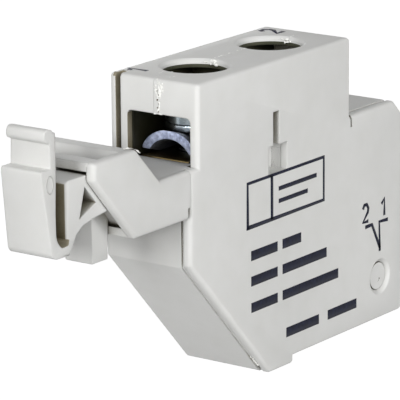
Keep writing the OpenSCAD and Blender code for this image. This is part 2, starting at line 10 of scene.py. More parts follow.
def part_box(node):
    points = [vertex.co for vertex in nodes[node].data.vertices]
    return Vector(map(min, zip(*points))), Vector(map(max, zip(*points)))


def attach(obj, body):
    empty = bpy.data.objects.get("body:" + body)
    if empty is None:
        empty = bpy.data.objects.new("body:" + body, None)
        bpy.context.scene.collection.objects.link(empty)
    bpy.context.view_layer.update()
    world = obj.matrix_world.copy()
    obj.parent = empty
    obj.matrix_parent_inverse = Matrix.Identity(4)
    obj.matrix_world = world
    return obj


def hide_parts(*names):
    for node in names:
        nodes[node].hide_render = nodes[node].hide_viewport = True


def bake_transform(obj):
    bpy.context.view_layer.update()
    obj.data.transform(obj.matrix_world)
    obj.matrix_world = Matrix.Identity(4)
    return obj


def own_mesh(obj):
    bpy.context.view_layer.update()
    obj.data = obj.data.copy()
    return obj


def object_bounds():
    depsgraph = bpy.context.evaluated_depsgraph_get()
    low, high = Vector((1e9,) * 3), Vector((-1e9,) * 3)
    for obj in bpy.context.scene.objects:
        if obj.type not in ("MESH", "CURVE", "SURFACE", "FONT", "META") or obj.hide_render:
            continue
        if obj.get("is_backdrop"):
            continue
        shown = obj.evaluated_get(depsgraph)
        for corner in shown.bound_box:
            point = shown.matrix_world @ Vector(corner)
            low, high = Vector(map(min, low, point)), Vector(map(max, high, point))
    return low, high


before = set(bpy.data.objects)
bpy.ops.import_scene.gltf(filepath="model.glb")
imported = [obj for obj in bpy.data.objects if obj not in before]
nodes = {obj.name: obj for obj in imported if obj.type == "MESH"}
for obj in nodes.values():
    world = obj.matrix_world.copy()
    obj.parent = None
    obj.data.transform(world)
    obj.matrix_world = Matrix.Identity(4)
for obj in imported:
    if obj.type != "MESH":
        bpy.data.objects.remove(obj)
cad_low, cad_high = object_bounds()


# Camera. It stands in front of the latch and the printed side, a little above the block and about
# thirty of its thicknesses away, so the block shows almost no perspective.
YAW = math.radians(36.13)
PITCH = math.radians(14.72)
ROLL = math.radians(-0.50)
FOCAL_PIXELS = 3353
PICTURE_PIXELS = 400
STAND = Vector((-0.2540, -0.1771, 0.0952))

ahead = Vector((math.cos(YAW) * math.cos(PITCH), math.sin(YAW) * math.cos(PITCH), -math.sin(PITCH)))
level_right = Vector((math.sin(YAW), -math.cos(YAW), 0))
level_up = level_right.cross(ahead)
right = math.cos(ROLL) * level_right + math.sin(ROLL) * level_up
up = math.cos(ROLL) * level_up - math.sin(ROLL) * level_right
camera_data = bpy.data.cameras.new("camera")
camera_data.sensor_width = 36
camera_data.lens = FOCAL_PIXELS / PICTURE_PIXELS * camera_data.sensor_width
camera_data.clip_start = 0.01
camera_data.clip_end = 10
camera = bpy.data.objects.new("camera", camera_data)
bpy.context.scene.collection.objects.link(camera)
camera.matrix_world = Matrix.Translation(STAND) @ Matrix((right, up, -ahead)).transposed().to_4x4()
bpy.context.scene.camera = camera
bpy.context.scene.view_settings.view_transform = "Standard"


# Base shell: the hidden half of the housing with the mechanism's tray, the arm's core, the latch's
# leg, the guide post and the joining peg. It is injection-moulded in light grey glass-filled
# polyamide, and its outer edges are rounded in the mould.
MM = 0.001
HEAD_TOP = 29.2
TOP_SINK = 0.06
GREY_LIGHT = (221, 221, 219)
GREY_DARK = (216, 216, 213)
EDGE_WEAR = 0.2
SHADE_DEEP = (52, 49, 38)
SHADE_MIDDLE = (164, 158, 140)
# Painted shade: the dark colours of the walls inside the ports and the driver holes.
HOLLOW_SHADE_DARK = (62, 64, 52)
HOLLOW_SHADE_LIGHT = (92, 92, 78)
# Painted shade: the brownish colours of the port's jamb, the gap behind the latch plate and the groove.
REVEAL_SHADE_DARK = (140, 133, 114)
REVEAL_SHADE_LIGHT = (164, 157, 138)
# Depths in mm from the port's mouth and below the head's top where the painted shade in the port and the driver holes
# begins.
PORT_REVEAL = 0.68
HOLE_RIM = 0.56
WINDOW_PATCH = (14.17, 1.375, 20.8)
WINDOW_PATCH_SIZE = (0.2, 1.05, 0.82)
HOLE_CENTRES = ((6.4, 5.0), (18.4, 5.0))


class Value:
    """A node socket that takes sums: each operator adds the Math node that does it."""

    def __init__(self, shader, socket):
        self.shader, self.socket = shader, socket

    def math(self, operation, first, second):
        return self.shader.node("ShaderNodeMath", {"operation": operation}, {0: first, 1: second})

    def __add__(self, other):
        return self.math("ADD", self, other)

    def __radd__(self, other):
        return self.math("ADD", other, self)

    def __mul__(self, other):
        return self.math("MULTIPLY", self, other)

    def __rmul__(self, other):
        return self.math("MULTIPLY", other, self)

    def __sub__(self, other):
        return self.math("SUBTRACT", self, other)

    def __rsub__(self, other):
        return self.math("SUBTRACT", other, self)


class Finish:
    """A material that is written as calls for its nodes and sums of their values."""

    def __init__(self, name):
        self.material = bpy.data.materials.new(name)
        self.material.use_nodes = True
        self.tree = self.material.node_tree
        self.surface = self.tree.nodes["Principled BSDF"]
        self.place = self.node("ShaderNodeTexCoord", {}, {}, "Object")

    def node(self, kind, settings, inputs, output=0):
        made = self.tree.nodes.new(kind)
        stops = settings.pop("stops", None)
        for key, value in settings.items():
            setattr(made, key, value)
        if stops:
            while len(made.color_ramp.elements) < len(stops):
                made.color_ramp.elements.new(0.5)
            for element, (position, colour) in zip(made.color_ramp.elements, stops):
                element.position = position
                element.color = (*colour, 1)
        for key, value in inputs.items():
            if isinstance(value, Value):
                self.tree.links.new(value.socket, made.inputs[key])
            else:
                made.inputs[key].default_value = value
        return Value(self, made.outputs[output])

    def noise(self, scale, detail, place=None):
        return self.node("ShaderNodeTexNoise", {}, {"Vector": place or self.place, "Scale": scale, "Detail": detail})

    def ramp(self, value, *stops):
        return self.node("ShaderNodeValToRGB", {"stops": stops}, {"Fac": value})

    def bump(self, height, distance, strength, **more):
        return self.node("ShaderNodeBump", {}, {"Height": height, "Distance": distance, "Strength": strength, **more})

    def wear(self, **sockets):
        for name, value in sockets.items():
            socket = self.surface.inputs[name.replace("_", " ")]
            if isinstance(value, Value):
                self.tree.links.new(value.socket, socket)
            else:
                socket.default_value = value
        return self.material


def paint(red, green, blue):
    """A colour as it looks on screen, from 0 to 255, made linear."""
    levels = [level / 255 for level in (red, green, blue)]
    return tuple(level / 12.92 if level <= 0.04045 else ((level + 0.055) / 1.055) ** 2.4 for level in levels)


def painted_crevice_shade(finish, colour, deep, reach=8.0, low=0.05, high=0.5):
    """The colour darkened by painted shade wherever a surface is closed in within reach, in mm."""
    open_sky = finish.node("ShaderNodeAmbientOcclusion", {"samples": 8}, {"Distance": reach * MM}, "AO")
    shade = finish.ramp(open_sky, (low, paint(*deep)), ((low + high) / 2, paint(*SHADE_MIDDLE)), (high, (1, 1, 1)))
    return finish.node("ShaderNodeMix", {"data_type": "RGBA", "blend_type": "MULTIPLY"}, {0: 1.0, 6: colour, 7: shade}, 2)


# Every copy of this moulding has painted shade in its colour, darkest where it is closed in; deep, low and high set how
# dark and where.
def moulded_grey(name="light_grey_moulding", dark=GREY_DARK, light=GREY_LIGHT, deep=SHADE_DEEP, low=0.04, high=0.42):
    finish = Finish(name)
    mottle = finish.noise(420, 3)
    grain = finish.noise(7000, 2)
    flow = finish.noise(110, 2)
    rounded = finish.node("ShaderNodeBevel", {"samples": 6}, {"Radius": EDGE_WEAR * MM})
    return finish.wear(Specular_IOR_Level=0.15, 
        Base_Color=painted_crevice_shade(finish, finish.ramp(
            0.7 * mottle + 0.3 * flow, (0.3, paint(*dark)), (0.7, paint(*light))
        ), deep, low=low, high=high),
        Roughness=0.34 + 0.12 * flow + 0.08 * grain,
        IOR=1.5,
        Normal=finish.bump(grain + 0.5 * mottle, 0.00001, 0.4, Normal=rounded),
    )


def merged(node, name):
    """A copy of a node's mesh with its loose triangles joined into smooth rounds and flat faces."""
    mesh = nodes[node].data.copy()
    mesh.materials.clear()
    form = bmesh.new()
    form.from_mesh(mesh)
    bmesh.ops.remove_doubles(form, verts=form.verts, dist=0.002 * MM)
    bmesh.ops.dissolve_limit(form, angle_limit=math.radians(1), verts=form.verts, edges=form.edges)
    form.to_mesh(mesh)
    form.free()
    piece = bpy.data.objects.new(name, mesh)
    bpy.context.scene.collection.objects.link(piece)
    return piece


def smooth_by_angle(mesh, degrees):
    form = bmesh.new()
    form.from_mesh(mesh)
    for face in form.faces:
        face.smooth = True
    for edge in form.edges:
        edge.smooth = len(edge.link_faces) == 2 and edge.calc_face_angle(0) < math.radians(degrees)
    form.to_mesh(mesh)
    form.free()


def press(mesh, axis, face, depth):
    """Moves a flat outer face in by depth, with its rounded edge, to leave room for ink or flash."""
    edge = 0.5 * MM * math.copysign(1, face)
    for point in mesh.vertices:
        past = (point.co[axis] - (face - edge)) / edge
        if past > 0:
            point.co[axis] -= past * math.copysign(depth, face)


def belongs(piece, body, slot, material, *replaced):
    piece.data.materials.clear()
    piece.data.materials.append(material)
    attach(piece, body)
    if replaced:
        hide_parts(*replaced)


def spot(x, y, z):
    """A point given from the head's front face, the printed side and the seating face, in mm."""
    return Vector((x - 18.4, y - 5, z)) * MM


def place_of(point):
    """The same in reverse: a point in mm from those three faces."""
    return point / MM + Vector((18.4, 5, 0))


def in_hole(at, radius=3.12):
    return any(math.hypot(at.x - x, at.y - y) < radius for x, y in HOLE_CENTRES)


def cut_faces(form, plane_co, plane_no, wanted):
    """Splits the faces whose middles are wanted along a plane."""
    faces = [face for face in form.faces if wanted(place_of(face.calc_center_median()))]
    edges = list({edge for face in faces for edge in face.edges})
    points = list({point for face in faces for point in face.verts})
    bmesh.ops.bisect_plane(form, geom=points + edges + faces, dist=1e-7, plane_co=plane_co, plane_no=plane_no)


# The groove, the port's jamb and the leg's front face behind the latch plate: places that get painted shade.
def is_groove(at):
    return 0.02 < at.x < 1.5 and 8.3 < at.y < 9.6 and at.z > 21.5


def is_jamb(at):
    return 0.02 < at.x < PORT_REVEAL and 7.9 < at.y < 8.1 and 21.4 < at.z < 26.2


def is_gap(at):
    return -17.9 < at.x < -17.8 and 1.3 < at.y < 4.9 and 18.5 < at.z < 23.7


def paint_hollow_shade(piece):
    """Gives the walls inside the ports and driver holes a copy of the moulding with dark painted shade, the window a
    copy with less painted shade, and the port's jamb, the leg's gap and the groove brownish copies with painted shade.
    """
    form = bmesh.new()
    form.from_mesh(piece.data)
    cut_faces(form, spot(0, 0, HEAD_TOP - HOLE_RIM), (0, 0, 1), lambda at: in_hole(at) and at.z > 28)
    cut_faces(form, spot(PORT_REVEAL, 0, 0), (1, 0, 0), lambda at: 0.02 < at.x < 1.1 and 0.5 < at.y < 8.4 and 21.4 < at.z < 26.2)
    for face in form.faces:
        at = place_of(face.calc_center_median())
        inside = PORT_REVEAL < at.x < 23.6 and 0.88 < at.y < 8.4 and 21.46 < at.z < 28.35
        if inside or in_hole(at) and 21.46 < at.z < HEAD_TOP - HOLE_RIM:
            face.material_index = 1
        elif 10.95 < at.x < 14.12 and 0.0 < at.y < 1.95 and 18.4 < at.z < 21.46:
            face.material_index = 2
        elif is_jamb(at) or is_gap(at):
            face.material_index = 3
        elif is_groove(at):
            face.material_index = 4
    form.to_mesh(piece.data)
    form.free()


def round_off(piece, width, segments, wanted, clamped=True):
    """Rounds the sharp edges whose two ends are wanted."""
    form = bmesh.new()
    form.from_mesh(piece.data)
    edges = [
        edge for edge in form.edges
        if all(wanted(place_of(point.co)) for point in edge.verts)
        and len(edge.link_faces) == 2 and edge.calc_face_angle(0) > math.radians(50)
    ]
    bmesh.ops.bevel(form, geom=edges, offset=width * MM, segments=segments, profile=0.5, affect="EDGES", clamp_overlap=clamped)
    form.to_mesh(piece.data)
    form.free()


def is_leg_edge(at):
    return -17.9 < at.x < -17.8 and 0.9 < at.y < 5.2 and 18.5 < at.z < 23.95


def is_post_edge(at):
    return -12 < at.x < -9.5 and 2.9 < at.y < 6.1 and 14.7 < at.z < 19.5


housing_grey = moulded_grey()
# The walls inside the ports and holes get this dark copy, which paints their shade.
hollow_shade_grey = moulded_grey("shaded_moulding", HOLLOW_SHADE_DARK, HOLLOW_SHADE_LIGHT, high=0.6)
# The window's copy paints less shade than the housing's, so the window stays lighter.
window_less_shade_grey = moulded_grey("window_less_shade_moulding", low=0.0, high=0.12)
# The port's jamb and the leg's gap get this brownish copy, which paints their shade.
reveal_shade_grey = moulded_grey("reveal_shade_moulding", REVEAL_SHADE_DARK, REVEAL_SHADE_LIGHT, low=0.0, high=0.5)
# The groove gets this brownish copy, which paints deep shade into it.
groove_shade_grey = moulded_grey("groove_shade_moulding", REVEAL_SHADE_DARK, REVEAL_SHADE_LIGHT, low=0.0, high=0.06)
base = merged("base_shell", "base_moulding")
press(base.data, 2, HEAD_TOP * MM, TOP_SINK * MM)
round_off(base, 0.4, 4, is_leg_edge, clamped=False)
round_off(base, 0.14, 2, is_post_edge)
form = bmesh.new()
form.from_mesh(base.data)
bmesh.ops.create_cube(form, size=MM, matrix=Matrix.Translation(spot(*WINDOW_PATCH)) @ Matrix.Diagonal((*WINDOW_PATCH_SIZE, 1)))
form.to_mesh(base.data)
form.free()
smooth_by_angle(base.data, 35)
belongs(base, "housing", "housing", housing_grey, "base_shell")
base.data.materials.append(hollow_shade_grey)
base.data.materials.append(window_less_shade_grey)
base.data.materials.append(reveal_shade_grey)
base.data.materials.append(groove_shade_grey)
paint_hollow_shade(base)


# Printed cover: the near half of the terminal head in one piece with the thin panel that closes
# the tray and the arm's near wall. It is moulded in the same polyamide, pressed over the peg and
# welded along the seam.
PRINT_SINK = 0.02
PRINTED_SIDE = -5.0

cover = merged("printed_cover", "cover_moulding")
press(cover.data, 2, HEAD_TOP * MM, TOP_SINK * MM)
press(cover.data, 1, PRINTED_SIDE * MM, PRINT_SINK * MM)
smooth_by_angle(cover.data, 35)
belongs(cover, "housing", "housing", housing_grey, "printed_cover")
cover.data.materials.append(hollow_shade_grey)
cover.data.materials.append(window_less_shade_grey)
cover.data.materials.append(reveal_shade_grey)
paint_hollow_shade(cover)


# Seam flash: thin ragged fins of the shells' own plastic, squeezed out where the two halves were
# welded, down the head's front face, along its top beside the screwdriver holes, and at the arm.
FLASH_COLOUR = (250, 250, 247)


def path_mesh(name, *paths):
    """Points joined one after another, one chain for each path."""
    points, links = [], []
    for path in paths:
        links += [(len(points) + i, len(points) + i + 1) for i in range(len(path) - 1)]
        points += path
    mesh = bpy.data.meshes.new(name)
    mesh.from_pydata([tuple(point) for point in points], links, [])
    piece = bpy.data.objects.new(name, mesh)
    bpy.context.scene.collection.objects.link(piece)
    return piece


class Rule:
    """A Geometry Nodes tree with named inputs, and the plain mesh that it makes of a piece."""

    def __init__(self, name, **inputs):
        self.tree = bpy.data.node_groups.new(name, "GeometryNodeTree")
        self.tree.interface.new_socket("Geometry", in_out="INPUT", socket_type="NodeSocketGeometry")
        self.tree.interface.new_socket("Geometry", in_out="OUTPUT", socket_type="NodeSocketGeometry")
        for label, kind in inputs.items():
            self.tree.interface.new_socket(label, in_out="INPUT", socket_type="NodeSocket" + kind)
        self.given = self.tree.nodes.new("NodeGroupInput").outputs

    def add(self, kind, settings, inputs, output=0):
        made = self.tree.nodes.new(kind)
        for key, value in settings.items():
            setattr(made, key, value)
        for key, value in inputs.items():
            if isinstance(value, bpy.types.NodeSocket):
                self.tree.links.new(value, made.inputs[key])
            else:
                made.inputs[key].default_value = value
        return made.outputs[output]

    def close(self, geometry):
        whole = self.add("GeometryNodeRealizeInstances", {}, {"Geometry": geometry})
        dressed = self.add("GeometryNodeSetMaterial", {}, {"Geometry": whole, "Material": self.given["Material"]})
        self.tree.links.new(dressed, self.tree.nodes.new("NodeGroupOutput").inputs["Geometry"])

    def shape(self, piece, **values):
        modifier = piece.modifiers.new(self.tree.name, "NODES")
        modifier.node_group = self.tree
        for item in self.tree.interface.items_tree:
            if item.in_out == "INPUT" and item.name in values:
                modifier[item.identifier] = values[item.name]
        view = bpy.context.evaluated_depsgraph_get()
        made = bpy.data.meshes.new_from_object(piece.evaluated_get(view))
        piece.modifiers.clear()
        piece.data = made
        return piece


fin = Rule("ragged_fin", Step="Float", Sway="Float", Thickness="Float", Material="Material")
chain = fin.add("GeometryNodeMeshToCurve", {}, {"Mesh": fin.given["Geometry"]})
steps = fin.add("GeometryNodeResampleCurve", {"mode": "LENGTH"}, {"Curve": chain, "Length": fin.given["Step"]})
where = fin.add("GeometryNodeInputPosition", {}, {})
drift = fin.add("ShaderNodeTexNoise", {}, {"Vector": where, "Scale": 2400.0, "Detail": 4.0}, "Color")
centred = fin.add("ShaderNodeVectorMath", {"operation": "SUBTRACT"}, {0: drift, 1: (0.5, 0.5, 0.5)})
sway = fin.add("ShaderNodeVectorMath", {"operation": "SCALE"}, {0: centred, "Scale": fin.given["Sway"]})
moved = fin.add("GeometryNodeSetPosition", {}, {"Geometry": steps, "Offset": sway})
swell = fin.add("ShaderNodeTexNoise", {}, {"Vector": where, "Scale": 3600.0, "Detail": 4.0})
girth = fin.add("ShaderNodeMapRange", {}, {"Value": swell, 1: 0.4, 2: 0.62, 3: 0.08, 4: 1.0})
ring = fin.add("GeometryNodeCurvePrimitiveCircle", {}, {"Resolution": 6, "Radius": fin.given["Thickness"]})
fin.close(fin.add("GeometryNodeCurveToMesh", {}, {
    "Curve": moved, "Profile Curve": ring, "Scale": girth, "Fill Caps": True
}))


def flash_white():
    finish = Finish("seam_flash")
    mottle = finish.noise(3000, 2)
    return finish.wear(
        Base_Color=finish.ramp(mottle, (0.3, paint(236, 236, 231)), (0.7, paint(*FLASH_COLOUR))),
        Roughness=0.3 + 0.2 * mottle,
    )


flash_grey = flash_white()
TOP_FLASH = HEAD_TOP - 0.1


def threads(count, tops, ends, width, seed):
    """Loose threads down the front seam: each starts and ends at a height drawn from a range."""
    drawn = random.Random(seed)
    paths = []
    for _ in range(count):
        top, end = drawn.uniform(*tops), drawn.uniform(*ends)
        side = drawn.uniform(-1, 1)
        path = []
        for i in range(7):
            height = top + (end - top) * i / 6
            spread = width * min(max((height - 26.9) / 1.3, 0.1), 1)
            path.append(spot(-0.01 if height < 28.8 else 0.12, 4.42 + side * spread + drawn.uniform(-0.1, 0.1), height))
        paths.append(path)
    return paths


front_flash = path_mesh(
    "front_seam_flash", *threads(13, (28.3, 29.02), (27.2, 28.1), 0.45, 5), *threads(2, (28.8, 29.0), (25.95, 26.3), 0.3, 8),
    [spot(0.0, 4.0, 25.93), spot(-0.02, 4.4, 25.9), spot(0.0, 4.9, 25.93)],
    [spot(0.0, 4.5, 28.7), spot(0.12, 4.35, 29.02), spot(0.9, 4.2, 29.07), spot(1.7, 3.8, 29.07)],
    [spot(0.0, 4.3, 28.8), spot(0.2, 4.7, 29.02), spot(0.6, 4.95, 29.07)],
)
belongs(fin.shape(front_flash, Step=0.05 * MM, Sway=0.3 * MM, Thickness=0.075 * MM, Material=flash_grey),
        "housing", "housing", flash_grey)
# Dark brown for the burnt specks on the seam, and for strokes of painted shade at the peg and the rim.
speck_and_shade_brown = Finish("burnt_specks_and_painted_shade").wear(Base_Color=(*paint(96, 88, 74), 1), Roughness=0.6)
seam_specks = path_mesh("seam_specks", *[
    [spot(-0.03, y, z), spot(-0.03, y + 0.04, z - long)]
    for y, z, long in ((4.55, 28.1, 0.12), (4.35, 27.75, 0.1), (4.5, 27.3, 0.16), (4.4, 26.9, 0.2), (4.5, 26.55, 0.1), (4.42, 26.2, 0.14))
])
# A dark stroke painted as the shade in the peg's end.
peg_dent_shade = path_mesh("peg_dent_shade", [spot(30.0, 0.3, 3.72), spot(30.2, 0.3, 3.85), spot(30.27, 0.3, 4.05)])
belongs(fin.shape(peg_dent_shade, Step=0.05 * MM, Sway=0.05 * MM, Thickness=0.09 * MM, Material=speck_and_shade_brown),
        "housing", "housing", speck_and_shade_brown)
edge_flash = path_mesh(
    "edge_flash",
    [spot(-9.3, 1.3, 25.0), spot(-8.5, 1.05, 24.96), spot(-8.0, 0.5, 24.5)],
    [spot(9.35, 1.0, 1.25), spot(9.9, 1.0, 0.6), spot(10.3, 0.98, 0.15)],
    [spot(9.5, 0.85, 1.0), spot(10.2, 0.8, 0.2)],
    [spot(23.1, 0.08, 25.3), spot(23.2, 0.08, 25.5)],
)
belongs(fin.shape(edge_flash, Step=0.06 * MM, Sway=0.25 * MM, Thickness=0.1 * MM, Material=flash_grey),
        "housing", "housing", flash_grey)
# A dark stroke painted as the shade in the gap along the cover's slanted rim.
rim_gap_shade = path_mesh("rim_gap_shade", [spot(7.2, 0.95, 4.13), spot(8.0, 0.95, 3.15), spot(8.9, 0.95, 2.0)])
belongs(fin.shape(rim_gap_shade, Step=0.06 * MM, Sway=0.1 * MM, Thickness=0.1 * MM, Material=speck_and_shade_brown),
        "housing", "housing", speck_and_shade_brown)
belongs(fin.shape(seam_specks, Step=0.03 * MM, Sway=0.05 * MM, Thickness=0.07 * MM, Material=speck_and_shade_brown),
        "housing", "housing", speck_and_shade_brown)
top_flash = path_mesh(
    "top_seam_flash",
    [spot(9.6, 5.35, TOP_FLASH), spot(11.8, 5.5, TOP_FLASH), spot(13.8, 5.5, TOP_FLASH), spot(15.3, 5.55, TOP_FLASH)],
    [spot(21.6, 4.9, TOP_FLASH), spot(22.6, 5.1, TOP_FLASH)],
    [spot(0.7, 5.1, TOP_FLASH), spot(1.6, 5.4, TOP_FLASH)],
)
belongs(fin.shape(top_flash, Step=0.08 * MM, Sway=0.16 * MM, Thickness=0.095 * MM, Material=flash_grey),
        "housing", "housing", flash_grey)
rim_flash = path_mesh(
    "rim_seam_flash",
    [spot(2.0, 5.75, 29.04), spot(3.0, 5.95, 29.02), spot(3.45, 5.4, 28.9)],
    [spot(9.2, 6.0, 28.9), spot(9.5, 5.5, 28.98), spot(9.5, 4.7, 28.95)],
    [spot(9.3, 5.6, 28.7), spot(9.42, 5.0, 28.8), spot(9.35, 4.6, 28.7)],
    [spot(15.2, 5.7, 29.0), spot(15.6, 6.3, 28.85)],
    [spot(21.3, 5.6, 28.9), spot(21.5, 5.0, 28.95)], [spot(21.3, 5.2, 28.7), spot(21.4, 4.7, 28.8)],
)
belongs(fin.shape(rim_flash, Step=0.06 * MM, Sway=0.5 * MM, Thickness=0.14 * MM, Material=flash_grey),
        "housing", "housing", flash_grey)


# Print: dark pad-printed ink on the panel and beside the screwdriver holes. The wording is left
# out. In its place stand an empty field and plain bars, a general sign for a normally closed
# contact, and the numbers of its two terminals.
INK_FILM = 0.012
INK_LEVEL = 0.012
FIELD_LINE = 0.42
BAR_LINE = 0.95
SIGN_LINE = 0.38

ribbon = Rule("printed_line", Width="Float", Film="Float", Facing="Vector", Material="Material")
chain = ribbon.add("GeometryNodeMeshToCurve", {}, {"Mesh": ribbon.given["Geometry"]})
turned = ribbon.add("GeometryNodeSetCurveNormal", {"mode": "FREE"}, {"Curve": chain, "Normal": ribbon.given["Facing"]})
band = ribbon.add("GeometryNodeCurvePrimitiveQuadrilateral", {}, {
    "Width": ribbon.given["Film"], "Height": ribbon.given["Width"]
})
ribbon.close(ribbon.add("GeometryNodeCurveToMesh", {}, {"Curve": turned, "Profile Curve": band, "Fill Caps": True}))


def navy_ink():
    finish = Finish("navy_ink")
    blot = finish.noise(2200, 3)
    return finish.wear(Specular_IOR_Level=0.15, 
        Base_Color=finish.ramp(blot, (0.35, paint(14, 16, 30)), (0.75, paint(32, 35, 54))),
        Roughness=0.42 + 0.2 * blot,
    )


ink = navy_ink()


def printed(name, line, facing, *paths):
    piece = ribbon.shape(path_mesh(name, *paths), Width=line * MM, Film=INK_FILM * MM, Facing=facing, Material=ink)
    belongs(piece, "housing", "housing", ink)


def panel(*points):
    return [spot(x, INK_LEVEL, z) for x, z in points]


def one(x, y, wide, high):
    return [(x, y + 0.72 * high), (x + 0.55 * wide, y + high), (x + 0.55 * wide, y)]


def two(x, y, wide, high):
    return [(x, y + 0.78 * high), (x + 0.25 * wide, y + high), (x + 0.7 * wide, y + high), (x + wide, y + 0.75 * high),
            (x + 0.9 * wide, y + 0.52 * high), (x, y), (x + wide, y)]


printed("field_print", FIELD_LINE, (0, 1, 0),
        panel((7.6, 14.2), (20.1, 14.2), (20.1, 18.4), (7.6, 18.4), (7.6, 14.0)),
        panel((11.5, 14.2), (11.5, 18.4)), panel((12.6, 16.9), (18.9, 16.9)), panel((12.6, 15.7), (17.4, 15.7)))
printed("bar_print", BAR_LINE, (0, 1, 0),
        panel((8.1, 11.4), (12.4, 11.4)), panel((13.2, 11.4), (16.3, 11.4)),
        panel((8.1, 8.95), (12.4, 8.95)), panel((13.2, 8.95), (20.6, 8.95)),
        panel((8.1, 6.4), (12.4, 6.4)), panel((13.2, 6.4), (22.6, 6.4)),
        panel((13.8, 2.6), (19.3, 2.6)), panel((20.8, 2.6), (25.8, 2.6)))
printed("contact_sign_print", SIGN_LINE, (0, 1, 0),
        panel((27.3, 9.85), (28.5, 9.87), (29.95, 7.2)), panel((31.35, 9.8), (29.8, 9.88), (29.92, 6.9)),
        panel(*one(30.2, 10.35, 0.9, 1.7)), panel(*two(26.9, 10.4, 0.95, 1.7)))
printed("terminal_number_print", 0.5, (0, 0, 1),
        [spot(x, y, HEAD_TOP - 0.05) for x, y in one(1.6, 7.3, 1.1, 2.1)],
        [spot(x, y, HEAD_TOP - 0.05) for x, y in two(22.3, 6.9, 1.1, 2.1)])


# Latch: a spring plate with a wedge-shaped catch and a finger bead, moulded in one piece with the
# arm. It stands on a U-shaped foot that springs.
# It is wider at the foot, so that it leaves the mould.
BEAD = (-20.35, 28.38, 0.6)
FOOT_Z, BEAD_Z = 17.5, 29.1
PLATE_NEAR, PLATE_FAR, DRAFT = 0.88, 4.98, 0.4
LEG_NEAR, LEG_FAR = 0.985, 5.115
LATCH_EDGE = 0.24


def corner(before, at, after, radius, count=5):
    """Points that round the corner at one point of an outline."""
    at, before, after = Vector(at), Vector(before), Vector(after)
    start = at + (before - at).normalized() * radius
    end = at + (after - at).normalized() * radius
    steps = [i / (count - 1) for i in range(count)]
    return [(1 - t) ** 2 * start + 2 * t * (1 - t) * at + t * t * end for t in steps]


def rounded(points):
    """An outline of (x, z, radius) corners, each rounded by its own radius."""
    spots = [point[:2] for point in points]
    outline = []
    for i, (x, z, radius) in enumerate(points):
        if radius:
            outline += corner(spots[i - 1], spots[i], spots[(i + 1) % len(points)], radius)
        else:
            outline.append(Vector((x, z)))
    return outline


bead = []
for i in range(15):
    turn = math.radians(12 + i * 17.5)
    flat = [math.copysign(abs(part) ** 0.82, part) for part in (math.cos(turn), math.sin(turn))]
    bead.append((BEAD[0] + BEAD[2] * flat[0], BEAD[1] + BEAD[2] * flat[1], 0))
outline = rounded([
    (-19.45, 28.62, 0.15), *bead[:-1], (-20.3, 27.7, 0.12), (-20.3, 25.5, 0.1), (-21.599, 25.5, 0.22),
    (-21.599, 25.0, 0.25), (-20.6, 17.95, 0.3), (-20.2, 17.55, 0.2), (-18.2, 17.46, 0),
    (-17.78, 17.42, 0.15), (-17.38, 17.66, 0.1), (-16.95, 18.35, 0.05), (-17.2, 18.55, 0.1),
    (-17.84, 18.8, 0.1), (-17.9, 18.62, 0.1), (-18.2, 18.4, 0.15), (-19.3, 18.35, 0.35), (-19.95, 19.2, 0.5),
    (-19.9, 21.5, 0.5), (-19.6, 25.0, 0.5),
])


def latch_side(x, z, near):
    low = min(max((BEAD_Z - z) / (BEAD_Z - FOOT_Z), 0), 1)
    away = min(max((-17.3 - x) / 1.3, 0), 1)
    away = away * away * (3 - 2 * away)
    plate = PLATE_NEAR - DRAFT * low if near else PLATE_FAR + DRAFT * low
    leg = LEG_NEAR if near else LEG_FAR
    return leg + (plate - leg) * away


form = bmesh.new()
near_ring = [form.verts.new(spot(x, latch_side(x, z, True), z)) for x, z in outline]
far_ring = [form.verts.new(spot(x, latch_side(x, z, False), z)) for x, z in outline]
form.faces.new(near_ring)
form.faces.new(far_ring[::-1])
for i in range(len(outline)):
    j = (i + 1) % len(outline)
    form.faces.new((near_ring[j], near_ring[i], far_ring[i], far_ring[j]))
bmesh.ops.recalc_face_normals(form, faces=form.faces)
latch_mesh = bpy.data.meshes.new("latch_moulding")
form.to_mesh(latch_mesh)
form.free()
latch = bpy.data.objects.new("latch_moulding", latch_mesh)
bpy.context.scene.collection.objects.link(latch)


def broken_edges(piece, width, degrees, segments=2):
    """Rounds a piece's sharp edges as a mould or a press leaves them."""
    rounding = piece.modifiers.new("broken_edges", "BEVEL")
    rounding.width = width * MM
    rounding.segments = segments
    rounding.limit_method = "ANGLE"
    rounding.angle_limit = math.radians(degrees)
    rounding.use_clamp_overlap = True
    view = bpy.context.evaluated_depsgraph_get()
    made = bpy.data.meshes.new_from_object(piece.evaluated_get(view))
    piece.modifiers.clear()
    piece.data = made
    return piece


broken_edges(latch, LATCH_EDGE, 50, 3)
smooth_by_angle(latch.data, 40)
latch.data.materials.clear()
latch.data.materials.append(housing_grey)
latch.data.materials.append(reveal_shade_grey)
# Painted shade: the inner faces of the latch's U get the brownish shaded copy of the moulding.
for face in latch.data.polygons:
    at = place_of(face.center)
    if -20.1 < at.x < -17.8 and 1.2 < at.y < 5.2 and 18.2 < at.z < 25 and (face.normal.z > 0.3 or face.normal.x > 0.3):
        face.material_index = 1
spot(-17.7, 3, 18)
spot(-19.3, 3, 18)
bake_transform(latch)
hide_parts("snap_hook")

EJECTOR = (-20.5, 24.2, 0.46, 0.76)
mark = []
for i in range(25):
    turn = 2 * math.pi * i / 24
    x, z = EJECTOR[0] + EJECTOR[2] * math.cos(turn), EJECTOR[1] + EJECTOR[3] * math.sin(turn)
    mark.append(spot(x, latch_side(x, z, True) - 0.005, z))
ejector_ring = ribbon.shape(path_mesh("ejector_mark", mark), Width=0.1 * MM, Film=0.05 * MM, Facing=(0, 1, 0), Material=housing_grey)
belongs(ejector_ring, "latch", "housing", housing_grey)


